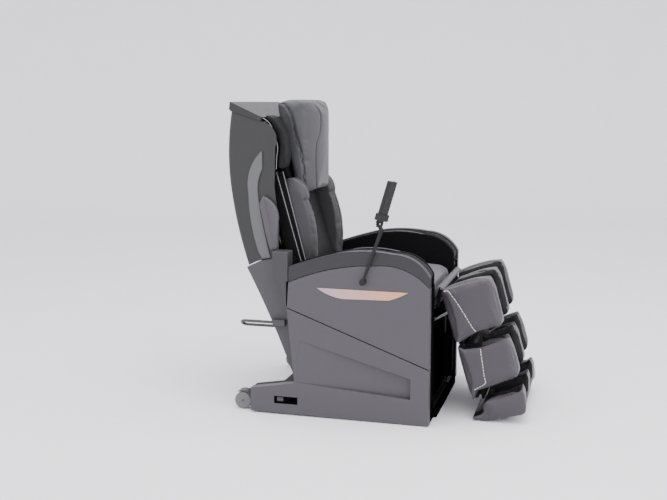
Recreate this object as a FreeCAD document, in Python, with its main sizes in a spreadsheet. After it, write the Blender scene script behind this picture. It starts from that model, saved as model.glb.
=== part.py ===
import FreeCAD
import Part
import Sketcher
import math
import os

# Massage chair, built piece by piece. Millimetres; +X is the way the sitter faces, +Y is the sitter's left,
# +Z is up, and the origin is on the floor under the middle of the base. Right-hand pieces are drawn, and
# left-hand ones mirror them.

Vector = FreeCAD.Vector

SIZES = {
    # side boxes
    "half_width": 376,
    "cover_depth": 36,
    "cover_wall": 4,
    "edge_round": 5,
    "side_front": 360,
    "side_bottom": 4,
    "side_rear": -203,
    "side_rear_foot": -174,
    "rail_rear": -356,
    "rail_rear_top": 101,
    "rail_top": 132,
    "seam_rear": 432,
    "seam_front": 221,
    "crease_height": 533,
    "arch_height": 612,
    "arm_height": 667,
    "arch_middle": 150,
    "recess_depth": 22,
    "arm_inner": 256,
    "panel_thickness": 10,
    "post_top": 652,
    "lens_front": 277,
    "lens_rear": -80,
    "lens_top": 518,
    "lens_low": 479,
    "lens_depth": 4,
    "slot_rear": -258,
    "slot_front": -161,
    "slot_low": 45,
    "slot_high": 75,
    "post_inner": 308,
    # frame tubes and base
    "base_thickness": 4,
    "base_half_width": 244,
    "tube": 40,
    "frame_tube": 30,
    "frame_inset": 220,
    "board_height": 425,
    "board_thickness": 14,
    "board_front": 352,
    "board_rear": -100,
    "shelf_height": 455,
    "lug_middle": 159,
    "recline_base_x": 110,
    "recline_base_z": 143,
    "recline_y": -60,
    "lift_base_x": 100,
    "lift_base_z": 200,
    "lift_y": 60,
    "beam_front": 310,
    "beam_middle": 120,
    "beam_rear": -300,
    "frame_middle": 296,
    "kick_top": 235,
    "trim_front": 371,
    # wheels
    "wheel_x": -401,
    "wheel_radius": 35,
    "wheel_width": 26,
    "wheel_middle": 331,
    "axle_radius": 5,
    "running_gap": 0.05,
    # backrest
    "recline_x": -240,
    "recline_z": 313,
    "cover_arc": 304,
    "arc_gap": 3,
    "shell_half": 300,
    "shell_wall": 6,
    "shell_round": 14,
    "shell_low_x": -389,
    "shell_low_z": 580,
    "shell_middle_x": -463,
    "shell_middle_z": 907,
    "shell_top_x": -455,
    "shell_top_z": 1192,
    "shell_front_x": -271,
    "shell_front_z": 1054,
    "cap_top": 1230,
    "cap_front": -325,
    "fin_depth": 5,
    "fairing_depth": 22,
    "back_tilt": 15.5,
    "back_low_x": -150,
    "back_low_z": 560,
    "cushion_half": 168,
    "cushion_low_arc": 256,
    "upper_back_half": 286,
    "bolster_depth": 52,
    "flap_depth": 7,
    "plate_inner": 228,
    "plate_thickness": 6,
    "pin_radius": 10,
    "pin_wall": 9,
    "bar_radius": 10,
    "lower_bar_up": 107,
    "upper_bar_up": 583,
    "pull_bar_x": -120,
    "pull_bar_z": 373,
    "pull_bar_radius": 12,
    "pillow_half": 165,
    "pillow_rear": -330,
    "pillow_crown_rear": -205,
    "pillow_crown_front": -153.5,
    "pillow_plan_low": 840,
    "pillow_plan_depth": 400,
    # seat
    "seat_half": 250,
    "seat_front": 350,
    "seat_top": 538,
    "seat_front_top": 519,
    "seat_rear_arc": 250,
    # leg rest
    "leg_hinge_x": 370,
    "leg_hinge_z": 500,
    "leg_tilt": 17.9,
    "knuckle_radius": 9,
    "leg_pin_radius": 5,
    "leg_half": 259,
    "channel_half": 175,
    "middle_half": 42,
    "leg_frame_half": 172,
    "leg_frame_depth": 12,
    "slider_half": 120,
    "lift_lug_down": 120,
    "lift_lug_back": 14,
    # massage unit
    "guide_radius": 8,
    "guide_side": 150,
    "guide_depth": 120,
    "screw_radius": 9,
    "carriage_up": 200,
    "carriage_half": 175,
    "shaft_depth": 83,
    "shaft_radius": 8,
    "roller_radius": 26,
    "roller_width": 26,
    "roller_inner": 34,
    "roller_reach": 70,
    # actuators
    "actuator_radius": 22,
    "rod_radius": 10,
    "foot_pin_radius": 6,
    # remote control and its stand
    "stand_foot_x": 104,
    "stand_foot_z": 550,
    "stand_y": 390,
    "stand_top_x": 192,
    "stand_top_z": 794,
    "remote_low_x": 178,
    "remote_low_z": 800,
    "remote_y": -392,
    "remote_lean": 16.4,
    "remote_turn": 30,
    "remote_length": 142,
    "remote_width": 42,
    "remote_thickness": 17,
    "button_stand": 2,
    "holder_pivot": -18,
}

document = FreeCAD.newDocument("MassageChair")
sheet = document.addObject("Spreadsheet::Sheet", "Sizes")
for row, (alias, number) in enumerate(SIZES.items(), start=1):
    sheet.set(f"A{row}", alias)
    sheet.set(f"B{row}", str(number))
    sheet.setAlias(f"B{row}", alias)
document.recompute()


class Size:
    """A length with the spreadsheet formula that it comes from."""

    def __init__(self, number, formula):
        self.number = number
        self.formula = formula

    def __add__(self, other):
        return Size(self.number + number_of(other), f"({self.formula} + {formula_of(other)})")

    def __radd__(self, other):
        return as_size(other) + self

    def __sub__(self, other):
        return Size(self.number - number_of(other), f"({self.formula} - {formula_of(other)})")

    def __mul__(self, factor):
        return Size(self.number * factor, f"({self.formula} * {factor})")

    def __neg__(self):
        return Size(-self.number, f"(0 - {self.formula})")


def number_of(size):
    return size.number if isinstance(size, Size) else size


def formula_of(size):
    return size.formula if isinstance(size, Size) else f"({size})"


class Sheet:
    """Every spreadsheet size, by its alias."""


D = Sheet()
for alias, number in SIZES.items():
    setattr(D, alias, Size(number, f"Sizes.{alias}"))

SUBPARTS = []


def keep(item, label):
    """Give a finished piece its label, which names its file."""
    item.Label = label
    SUBPARTS.append(item)
    return item


def bind(item, prop, size):
    item.setExpression(prop, formula_of(size))


# ---------------------------------------------------------------- sketches and bodies


def sketch_on(body, name, offset, role="XZ_Plane", turn=None):
    """A sketch on one of the body's own origin planes, moved by offset along that plane's normal."""
    sketch = body.newObject("Sketcher::SketchObject", name)
    plane = [item for item in body.Origin.OriginFeatures if item.Role == role][0]
    sketch.AttachmentSupport = [(plane, "")]
    sketch.MapMode = "FlatFace"
    turn = turn or FreeCAD.Rotation()
    sketch.AttachmentOffset = FreeCAD.Placement(Vector(0, 0, number_of(offset)), turn)
    bind(sketch, "AttachmentOffset.Base.z", offset)
    return sketch


def hold(sketch, geometry, end, aside, up):
    """Fix one point of a sketch at two sizes measured from its origin."""
    for kind, size in (("DistanceX", aside), ("DistanceY", up)):
        index = sketch.addConstraint(Sketcher.Constraint(kind, geometry, end, float(number_of(size))))
        if isinstance(size, Size):
            sketch.setExpression(f"Constraints[{index}]", size.formula)


def draw(sketch, points):
    """Close an outline through its points; one with four sizes is reached by an arc through the last two."""
    starts = []
    ends = []
    for place, point in enumerate(points):
        after = points[(place + 1) % len(points)]
        first = Vector(number_of(point[0]), number_of(point[1]), 0)
        last = Vector(number_of(after[0]), number_of(after[1]), 0)
        if len(after) == 4:
            middle = Vector(number_of(after[2]), number_of(after[3]), 0)
            index = sketch.addGeometry(Part.Arc(first, middle, last), False)
            through = sketch.addGeometry(Part.Point(middle), True)
            hold(sketch, through, 1, after[2], after[3])
            sketch.addConstraint(Sketcher.Constraint("PointOnObject", through, 1, index))
        else:
            index = sketch.addGeometry(Part.LineSegment(first, last), False)
        forward = sketch.getPoint(index, 1).distanceToPoint(first) < 0.001
        starts.append((index, 1 if forward else 2))
        ends.append((index, 2 if forward else 1))
    for place, point in enumerate(points):
        hold(sketch, *starts[place], point[0], point[1])
        sketch.addConstraint(Sketcher.Constraint("Coincident", *ends[place - 1], *starts[place]))


def disc(sketch, aside, up, radius):
    """A full circle in a sketch."""
    circle = Part.Circle(Vector(number_of(aside), number_of(up), 0), Vector(0, 0, 1), number_of(radius))
    index = sketch.addGeometry(circle, False)
    hold(sketch, index, 3, aside, up)
    row = sketch.addConstraint(Sketcher.Constraint("Radius", index, float(number_of(radius))))
    if isinstance(radius, Size):
        sketch.setExpression(f"Constraints[{row}]", radius.formula)


def plate(name, points, near, depth, role="XZ_Plane", holes=()):
    """A body padded from an outline. On the XZ plane near is how far to the right (-Y) the pad starts."""
    body = document.addObject("PartDesign::Body", name)
    sketch = sketch_on(body, f"{name}_outline", near, role)
    draw(sketch, points)
    for aside, up, radius in holes:
        disc(sketch, aside, up, radius)
    pad = body.newObject("PartDesign::Pad", f"{name}_pad")
    pad.Profile = sketch
    bind(pad, "Length", depth)
    body.Tip = pad
    document.recompute()
    return body


def cut(body, name, points, near, depth, role="XZ_Plane", onward=False, turn=None):
    """Pocket an outline into a body. onward cuts along the plane's normal, otherwise against it."""
    before = body.Shape.Volume
    sketch = sketch_on(body, name, near, role, turn)
    draw(sketch, points)
    pocket = body.newObject("PartDesign::Pocket", f"{name}_pocket")
    pocket.Profile = sketch
    pocket.Reversed = onward
    bind(pocket, "Length", depth)
    body.Tip = pocket
    document.recompute()
    if body.Shape.Volume > before - 1:
        raise RuntimeError(f"{name} removes nothing")
    return body


def hollow(body, name, wall, open_face):
    """Turn a solid body into a tray with one open face."""
    base = body.Tip
    faces = [f"Face{i}" for i, face in enumerate(base.Shape.Faces, start=1) if open_face(face)]
    tray = body.newObject("PartDesign::Thickness", name)
    tray.Base = (base, faces)
    tray.Join = 1
    tray.Reversed = True
    bind(tray, "Value", wall)
    body.Tip = tray
    document.recompute()
    return body


def soften(body, name, radius, wanted):
    """Fillet the edges of a body that a test picks."""
    base = body.Tip
    edges = [f"Edge{i}" for i, edge in enumerate(base.Shape.Edges, start=1) if wanted(edge)]
    fillet = body.newObject("PartDesign::Fillet", name)
    fillet.Base = (base, edges)
    bind(fillet, "Radius", radius)
    body.Tip = fillet
    document.recompute()
    return body


def edge_at(axis, place):
    """A test for edges that lie wholly at one place along an axis (0, 1 or 2 for X, Y or Z)."""
    where = number_of(place)
    return lambda edge: all(abs(vertex.Point[axis] - where) < 0.01 for vertex in edge.Vertexes)


def face_at(axis, place):
    """A test for the flat face at one place along an axis."""
    where = number_of(place)

    def test(face):
        box = face.BoundBox
        low = (box.XMin, box.YMin, box.ZMin)[axis]
        high = (box.XMax, box.YMax, box.ZMax)[axis]
        return abs(low - where) < 0.01 and abs(high - where) < 0.01

    return test


def mirror(source, name):
    """The left-hand twin of a right-hand piece."""
    twin = document.addObject("Part::Mirroring", f"{name}_mirror")
    twin.Source = source
    twin.Normal = Vector(0, 1, 0)
    return twin


def pair(name, *sources):
    """Group right-hand pieces and their mirror images as separate solids of one node."""
    group = document.addObject("Part::Compound", f"{name}_group")
    group.Links = [*sources, *[mirror(source, f"{name}_{count}") for count, source in enumerate(sources)]]
    return keep(group, name)


# ---------------------------------------------------------------- plain solids


def block(name, west, east, south, north, low, high):
    """A box between two sizes along each axis."""
    box = document.addObject("Part::Box", name)
    bind(box, "Length", as_size(east) - west)
    bind(box, "Width", as_size(north) - south)
    bind(box, "Height", as_size(high) - low)
    bind(box, "Placement.Base.x", west)
    bind(box, "Placement.Base.y", south)
    bind(box, "Placement.Base.z", low)
    return box


def as_size(size):
    return size if isinstance(size, Size) else Size(size, f"({size})")


def rod(name, start, end, radius, bore=None):
    """A round bar, or a tube with a bore, from one point to another."""
    first = Vector(*[number_of(size) for size in start])
    along = Vector(*[number_of(size) for size in end]) - first
    bar = cylinder(name, first, along, radius)
    if bore is None:
        return bar
    tube = document.addObject("Part::Cut", f"{name}_tube")
    tube.Base = bar
    tube.Tool = cylinder(f"{name}_bore", first, along, bore)
    return tube


def cylinder(name, first, along, radius):
    bar = document.addObject("Part::Cylinder", name)
    bind(bar, "Radius", radius)
    bar.Height = along.Length
    bar.Placement = FreeCAD.Placement(first, FreeCAD.Rotation(Vector(0, 0, 1), along))
    return bar


def join(name, pieces):
    """Weld solids into one."""
    weld = document.addObject("Part::MultiFuse", name)
    weld.Shapes = pieces
    return weld


def minus(name, base, *tools):
    """Take solids out of another."""
    for count, tool in enumerate(tools):
        cutter = document.addObject("Part::Cut", f"{name}_{count}")
        cutter.Base = base
        cutter.Tool = tool
        base = cutter
    return base


def rounded(name, base, radius, wanted):
    """Fillet picked edges of a plain solid."""
    document.recompute()
    edges = [i for i, edge in enumerate(base.Shape.Edges, start=1) if wanted(edge)]
    fillet = document.addObject("Part::Fillet", name)
    fillet.Base = base
    fillet.Edges = [(i, radius, radius) for i in edges]
    return fillet


def on_circle(middle_x, middle_z, radius, degrees_back):
    """A point on a circle in the XZ plane, by its angle behind the vertical."""
    angle = math.radians(degrees_back)
    return (middle_x - as_size(radius) * math.sin(angle), middle_z + as_size(radius) * math.cos(angle))


def arc_to(point, through):
    """An outline point reached by an arc through another."""
    return (point[0], point[1], through[0], through[1])


SIDE = D.half_width - D.cover_depth

# ---------------------------------------------------------------- side boxes


def arch(gap):
    """The curve between an arm band and the cover below it, from front to rear."""
    return [
        (D.side_front, D.crease_height + gap),
        (D.arch_middle, D.arch_height + gap, D.side_front - 70, D.arch_height - 24 + gap),
        (D.side_rear + 6, D.crease_height + gap, D.arch_middle - 138, D.arch_height - 13 + gap),
    ]


def lower_cover():
    """The lower cover with its tilted recess outside, and pockets between ribs inside."""
    outline = [
        (D.side_front, D.side_bottom),
        (D.side_front, D.seam_front - 1.5),
        (D.side_rear, D.seam_rear - 1.5),
        (D.side_rear_foot, D.rail_top),
        (D.rail_rear, D.rail_rear_top),
        (D.rail_rear, D.side_bottom + 4),
    ]
    cover = plate("side_cover_lower", outline, SIDE, D.cover_depth)
    column = D.side_front - 71
    recess = [
        (D.side_rear_foot, D.rail_top + 6),
        (column, D.rail_top - 30),
        (column, D.rail_top + 51),
        (D.side_rear_foot + 22, D.rail_top + 174),
    ]
    run = SIZES["side_front"] - 71 - SIZES["side_rear_foot"]
    lean = math.degrees(math.atan2(SIZES["recess_depth"], run))
    near = D.half_width + D.recess_depth * (SIZES["side_rear_foot"] / run)
    turn = FreeCAD.Rotation(Vector(0, 1, 0), lean)
    cut(cover, "recess", recess, near, D.cover_depth * 2, onward=True, turn=turn)
    deep = D.cover_depth - D.cover_wall
    wall = D.cover_wall
    rail_pocket = [
        (D.rail_rear + wall, D.side_bottom + 4 + wall),
        (D.side_front - wall, D.side_bottom + wall),
        (D.side_front - wall, D.rail_top - 36),
        (column, D.rail_top - 36),
        (D.side_rear_foot, D.rail_top - 5),
        (D.rail_rear + wall, D.rail_rear_top - 5),
    ]
    column_pocket = [
        (column + 5, D.rail_top - 30),
        (D.side_front - wall, D.rail_top - 30),
        (D.side_front - wall, D.seam_front - 7),
        (column + 5, D.seam_front + 15),
    ]
    band_pocket = [
        (D.side_rear + 8, D.seam_rear - 12),
        (column - 4, D.seam_front + 17),
        (column - 4, D.rail_top + 58),
        (D.side_rear_foot + 20, D.rail_top + 181),
        (D.side_rear + 12, D.rail_top + 185),
    ]
    recess_pocket = [
        (D.side_rear_foot + 6, D.rail_top + 8),
        (column - 4, D.rail_top - 26),
        (column - 4, D.rail_top + 46),
        (D.side_rear_foot + 26, D.rail_top + 166),
    ]
    for name, pocket in (("rail", rail_pocket), ("column", column_pocket), ("band", band_pocket)):
        cut(cover, f"{name}_inside", pocket, SIDE, deep, onward=True)
    cut(cover, "recess_inside", recess_pocket, SIDE, deep - D.recess_depth, onward=True)
    return cover


def upper_cover():
    outline = [(D.side_rear, D.seam_rear + 1.5), (D.side_front, D.seam_front + 1.5), *arch(0)]
    cover = plate("side_cover_upper", outline, SIDE, D.cover_depth)
    hollow(cover, "upper_tray", D.cover_wall, face_at(1, -SIDE.number))
    cut(cover, "lens_seat", lens_outline(0.5), D.half_width, D.lens_depth - 2)
    soften(cover, "upper_round", D.edge_round - 2, rim_edges)
    return cover


def rim_edges(edge):
    """The outer rim of a side cover, without the edges of its lens seat."""
    middle = edge.CenterOfMass
    in_seat = -90 < middle.x < 285 and 470 < middle.z < 525
    return edge_at(1, -D.half_width)(edge) and not in_seat


def lens_outline(grow):
    return [
        (D.lens_rear - grow, D.lens_top + grow),
        (D.lens_rear + 104, D.lens_low + 1 - grow, D.lens_rear + 48, D.lens_low + 14 - grow),
        (D.lens_front - 74, D.lens_low + 4 - grow),
        (D.lens_front + grow, D.lens_top - 2 + grow, D.lens_front - 34, D.lens_top - 20 - grow),
    ]


def side_boxes():
    """Covers, arm, post and inset of one side, and their mirror images."""
    lower = lower_cover()
    slot = block("power_slot", D.slot_rear, D.slot_front, -D.half_width - 5, -SIDE - 10,
                 D.slot_low, D.slot_high)
    covers = document.addObject("Part::Compound", "lower_covers")
    covers.Links = [minus("slotted_cover", lower, slot), mirror(lower, "lower_cover")]
    keep(covers, "side_covers_lower")
    pair("side_covers_upper", upper_cover())
    pair("side_insets", plate("lens", lens_outline(0), D.half_width - D.lens_depth + 2, D.lens_depth))
    band = plate("arm_band", arm_crown_back() + arch_back(2), SIDE + 2, D.cover_depth - 2)
    pair("arm_bands", band)
    pad_front = (D.side_front - 10, D.crease_height + 7)
    pad_outline = [pad_front, *arm_crown_back(), (D.side_rear + 8, D.crease_height + 27)]
    pad = plate("arm_pad", pad_outline, D.arm_inner + 12, D.cover_depth * 2)
    pair("arm_pads", pad)
    panel_outline = [(D.side_front - 2, 50), *arm_crown_back(2), (D.side_rear + 8, 50)]
    pair("arm_panels", plate("arm_panel", panel_outline, D.arm_inner, D.panel_thickness))
    post_outline = [
        (D.side_rear - 3, D.seam_rear + 4),
        (D.side_rear - 3, D.crease_height + 3),
        (D.side_rear + 4, D.crease_height + 3),
        (D.side_rear + 4, D.post_top),
        (D.side_rear - 59, D.post_top),
        (D.side_rear - 55, D.crease_height + 12),
        (D.side_rear - 47, D.crease_height - 5),
    ]
    post = plate("shoulder_post", post_outline, D.post_inner, D.half_width - D.post_inner - 2)
    soften(post, "post_round", D.edge_round, edge_at(2, D.post_top))
    pair("shoulder_posts", post)
    fascia = block("fascia", D.side_front - 8, D.side_front, -SIDE, -D.arm_inner - D.panel_thickness - 1,
                   6, D.crease_height + 2)
    kick = block("kick", D.board_front - 18, D.board_front - 14, -D.arm_inner + 4, D.arm_inner - 4,
                 46, D.kick_top)
    covers = document.addObject("Part::Compound", "front_covers_group")
    covers.Links = [fascia, mirror(fascia, "fascia"), kick]
    keep(covers, "front_covers")


def arm_crown_back(drop=0):
    """The top line of an arm from its front edge back to the post."""
    return [
        (D.side_front - drop, D.arm_height - 92),
        (D.arch_middle + 70, D.arm_height - 8 - drop, D.side_front - 45, D.arm_height - 39 - drop),
        (0, D.arm_height - 12 - drop, D.arch_middle - 37, D.arm_height - drop),
        (D.side_rear + 8, D.arm_height - 71 - drop, -95, D.arm_height - 38 - drop),
    ]


def arch_back(gap):
    """The curve between an arm band and the cover below it, from rear to front."""
    return [
        (D.side_rear + 8, D.crease_height + gap),
        (D.arch_middle, D.arch_height + gap, D.arch_middle - 138, D.arch_height - 13 + gap),
        (D.side_front, D.crease_height + gap, D.side_front - 70, D.arch_height - 24 + gap),
    ]


# ---------------------------------------------------------------- base and frame


def square_tube(name, axis, place, start, end, size, wall=3):
    """A square steel tube along one axis, through a place given by its other two coordinates."""
    half = size * 0.5
    lows = [place[0] - half, place[1] - half]
    highs = [place[0] + half, place[1] + half]
    lows.insert(axis, start)
    highs.insert(axis, end)
    outside = block(name, lows[0], highs[0], lows[1], highs[1], lows[2], highs[2])
    inner_lows = [low if i == axis else low + wall for i, low in enumerate(lows)]
    inner_highs = [high if i == axis else high - wall for i, high in enumerate(highs)]
    spans = zip(inner_lows, inner_highs)
    inside = block(f"{name}_inside", *[side for span in spans for side in span])
    return minus(f"{name}_tube", outside, inside)


def base_parts():
    keep(block("plate_steel", D.rail_rear + 10, D.board_front, -D.base_half_width, D.base_half_width, 0,
               D.base_thickness), "base_plate")
    half = D.tube * 0.5
    level = D.base_thickness + half
    tubes = []
    for side in (-1, 1):
        inset = D.frame_inset * side
        runner = square_tube(f"runner_{side + 1}", 0, (inset, level), D.beam_rear - half, D.beam_front + half,
                             D.tube)
        tubes.append(runner)
        for name, middle in (("front", D.beam_front), ("rear", D.board_rear + 30)):
            upright = square_tube(f"upright_{name}_{side + 1}", 2, (middle, inset), level, D.board_height,
                                  D.tube)
            tubes.append(upright)
    frame_side = D.frame_middle - D.frame_tube * 0.5
    for name, middle, reach in (
        ("rear", D.beam_rear, D.shell_half + 1),
        ("middle", D.beam_middle, frame_side),
        ("front", D.beam_front, frame_side),
    ):
        tubes.append(square_tube(f"beam_{name}", 1, (middle, level), -reach, reach, D.tube))
    for name, piece in (("side", side_frame()), ("rail", base_rail())):
        tubes += [piece, mirror(piece, f"frame_{name}")]
    tubes.append(pivot_mount("recline", D.recline_base_x, D.recline_base_z, D.recline_y))
    tubes.append(pivot_mount("lift", D.lift_base_x, D.lift_base_z, D.lift_y))
    keep(join("base_weld", tubes), "base_frame")
    board = block("board", D.board_rear, D.board_front, -D.arm_inner + 4, D.arm_inner - 4, D.board_height,
                  D.board_height + D.board_thickness)
    shelf_half = D.plate_inner - 16
    shelf = block("shelf", D.board_rear - 160, D.board_rear + 6, -shelf_half, shelf_half, D.shelf_height,
                  D.shelf_height + 7)
    riser = block("riser", D.board_rear, D.board_rear + 6, -shelf_half, shelf_half, D.board_height + 10,
                  D.shelf_height + 1)
    lugs = []
    for side in (-1, 1):
        lugs.append(seat_lug(f"seat_lug_{side + 1}", side))
    keep(join("board_join", [board, shelf, riser, *lugs]), "seat_board")
    trim = block("trim", D.board_front + 1, D.trim_front, -D.arm_inner + 4, D.arm_inner - 4, 2, 26)
    keep(trim, "front_trim")
    pin = rod("pin_steel", (D.recline_x, -D.plate_inner + 3, D.recline_z),
              (D.recline_x, -frame_side - 6, D.recline_z), D.pin_radius)
    pair("recline_pins", pin)
    floor = D.base_thickness
    keep(block("pump_box", -60, 80, 95, 190, floor, floor + 92), "air_pump")
    keep(block("control_case", -60, 95, -190, -110, floor, floor + 62), "control_box")


def seat_lug(name, side):
    """A strap on the seat board's front edge that carries the leg rest's hinge pin."""
    knuckle = [
        (D.board_front, D.board_height),
        (D.board_front + 9, D.board_height),
        (D.leg_hinge_x, D.leg_hinge_z - D.knuckle_radius),
        arc_to((D.leg_hinge_x, D.leg_hinge_z + D.knuckle_radius),
               (D.leg_hinge_x + D.knuckle_radius, D.leg_hinge_z)),
        arc_to((D.leg_hinge_x - D.knuckle_radius, D.leg_hinge_z),
               (D.leg_hinge_x - D.knuckle_radius * 0.7071, D.leg_hinge_z + D.knuckle_radius * 0.7071)),
        (D.board_front, D.leg_hinge_z - 30),
    ]
    near = D.lug_middle - 10 if side < 0 else -(D.lug_middle + 10)
    hole = (D.leg_hinge_x, D.leg_hinge_z, D.leg_pin_radius)
    return plate(name, knuckle, near, 20, holes=[hole])


def pivot_mount(name, pivot_x, pivot_z, middle_y):
    """Two ears on the middle beam with a pin through them, for the foot of an actuator."""
    beam_top = D.base_thickness + D.tube
    ears = []
    for side in (-1, 1):
        outline = [
            (D.beam_middle - 19, beam_top - 1),
            (D.beam_middle + 19, beam_top - 1),
            (pivot_x + 12, pivot_z),
            (pivot_x - 12, pivot_z, pivot_x, pivot_z + 12),
        ]
        near = -(middle_y - 18) if side < 0 else -(middle_y + 24)
        ears.append(plate(f"{name}_ear_{side + 1}", outline, near, 6))
    pin = rod(f"{name}_foot_pin", (pivot_x, middle_y - 24, pivot_z), (pivot_x, middle_y + 24, pivot_z), 6)
    return join(f"{name}_mount", [*ears, pin])


def side_frame():
    """The welded tube frame inside a side box, with the bracket that holds the recline pin."""
    size = D.frame_tube
    place = -D.frame_middle
    low = D.side_bottom + 21
    high = D.board_height + 80
    rear = D.side_rear + 53
    front = D.side_front - 45
    half = size * 0.5
    tubes = [
        square_tube("side_front_tube", 2, (front, place), low, high, size),
        square_tube("side_rear_tube", 2, (rear, place), low, high, size),
        square_tube("side_top_tube", 0, (place, high), rear - half, front + half, size),
        square_tube("side_low_tube", 0, (place, low), rear - half, front + half, size),
    ]
    boss = D.pin_radius + D.pin_wall
    outline = [
        (D.recline_x, D.recline_z - boss, D.recline_x - boss, D.recline_z),
        (rear + 14, D.recline_z - 120),
        (rear + 14, D.recline_z + 110),
        (D.recline_x, D.recline_z + boss),
    ]
    hole = (D.recline_x, D.recline_z, D.pin_radius)
    tubes.append(plate("recline_bracket", outline, D.frame_middle - half - 10, 10, holes=[hole]))
    return join("side_weld", tubes)


def base_rail():
    """The structural rail beside each lower cover's rear extension."""
    rail = [
        (D.rail_rear + 2, 8),
        (D.rail_rear + 2, D.rail_rear_top - 1),
        (D.rail_rear + 150, D.rail_top - 7),
        (D.side_rear_foot + 2, D.rail_top - 7),
        (D.side_rear_foot + 2, 8),
    ]
    return plate("base_rail", rail, D.shell_half + 1, SIDE - D.shell_half - 2)


def wheels():
    """Transport wheels behind the rails, each on a stub axle in a bracket with a guard over the top."""
    inner = D.wheel_middle - D.wheel_width * 0.5
    outer = D.wheel_middle + D.wheel_width * 0.5
    tyre = rod("wheel_disc", (D.wheel_x, -inner, D.wheel_radius), (D.wheel_x, -outer, D.wheel_radius),
               D.wheel_radius, D.axle_radius + D.running_gap)
    round_tyre = rounded("wheel_round", tyre, 4, rim_of_wheel)
    keep(round_tyre, "transport_wheel_right")
    keep(mirror(round_tyre, "wheel"), "transport_wheel_left")
    rear = D.rail_rear + 1
    arm = [
        (rear, D.wheel_radius - 18),
        (rear, D.wheel_radius + 40),
        (D.wheel_x - 13, D.wheel_radius + 10, D.wheel_x + 12, D.wheel_radius + 41),
        (D.wheel_x, D.wheel_radius - 16, D.wheel_x - 14, D.wheel_radius - 8),
    ]
    bracket = plate("wheel_arm", arm, inner - 14, 10)
    guard_outer = D.wheel_radius + 8
    guard_inner = D.wheel_radius + 4
    guard = [
        on_circle(D.wheel_x, D.wheel_radius, guard_outer, -60),
        arc_to(on_circle(D.wheel_x, D.wheel_radius, guard_outer, 30),
               on_circle(D.wheel_x, D.wheel_radius, guard_outer, -15)),
        on_circle(D.wheel_x, D.wheel_radius, guard_inner, 30),
        arc_to(on_circle(D.wheel_x, D.wheel_radius, guard_inner, -60),
               on_circle(D.wheel_x, D.wheel_radius, guard_inner, -15)),
    ]
    hood = plate("wheel_hood", guard, inner - 14, D.wheel_width + 16)
    axle = rod("axle_steel", (D.wheel_x, -(inner - 12), D.wheel_radius),
               (D.wheel_x, -(outer + 2), D.wheel_radius), D.axle_radius)
    pair("wheel_brackets", join("wheel_bracket_weld", [bracket, hood, axle]))


def rim_of_wheel(edge):
    return abs(edge.Length - 2 * math.pi * SIZES["wheel_radius"]) < 1


def grips():
    """A bent-rod lifting grip on each side of the lower rear cover; its inner leg goes through the cover."""
    outer = D.shell_half.number + 12
    inner = D.shell_half.number - 22
    high = 357
    low = 334
    front = SIZES["recline_x"] - 6
    turn = -398
    far = Vector(turn, -outer, high)
    near = Vector(turn, -inner, low)
    tip = (far + near) * 0.5 - Vector(far.distanceToPoint(near) * 0.5, 0, 0)
    path = Part.Wire([
        Part.LineSegment(Vector(front, -outer, high), far).toShape(),
        Part.Arc(far, tip, near).toShape(),
        Part.LineSegment(near, Vector(-284, -inner, low)).toShape(),
    ])
    ring = Part.Wire(Part.Circle(Vector(front, -outer, high), Vector(1, 0, 0), 6).toShape())
    loop = document.addObject("Part::Feature", "grip_rod")
    loop.Shape = path.makePipeShell([ring], True, False)
    mount = block("grip_block", front - 34, front + 16, -outer - 10, -D.shell_half - 0.5,
                  high - 12, high + 12)
    pair("lifting_grips", join("grip_weld", [loop, mount]))


def power_panel():
    """The inlet and rocker switch behind the slot in the right-hand rail cover."""
    depth = SIDE + 20
    face = block("panel_face", D.slot_rear - 6, D.slot_front + 6, -depth - 4, -depth,
                 D.slot_low - 5, D.slot_high + 5)
    inlet_hole = block("inlet_hole", D.slot_front - 38, D.slot_front - 8, -depth - 5, -depth + 1,
                       D.slot_low + 4, D.slot_high - 5)
    switch_hole = block("switch_hole", D.slot_rear + 8, D.slot_rear + 36, -depth - 5, -depth + 1,
                        D.slot_low + 6, D.slot_high - 6)
    panel = minus("panel_cut", face, inlet_hole, switch_hole)
    case = block("inlet_case", D.slot_front - 37.5, D.slot_front - 8.5, -depth - 4, -depth + 14,
                 D.slot_low + 4.5, D.slot_high - 5.5)
    cavity = block("inlet_cavity", D.slot_front - 35, D.slot_front - 11, -depth - 5, -depth + 11,
                   D.slot_low + 7, D.slot_high - 8)
    pins = [
        block(f"inlet_pin_{i}", D.slot_front - 31 + 7 * i, D.slot_front - 29 + 7 * i, -depth, -depth + 12,
              D.slot_low + 12, D.slot_low + 17)
        for i in range(3)
    ]
    group = document.addObject("Part::Compound", "power_panel_group")
    group.Links = [panel, join("inlet_join", [minus("inlet_cup", case, cavity), *pins])]
    keep(group, "power_panel")
    rocker = block("rocker_body", D.slot_rear + 9, D.slot_rear + 35, -depth - 6, -depth + 6, D.slot_low + 7,
                   D.slot_high - 7)
    keep(rocker, "power_switch")


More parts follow.
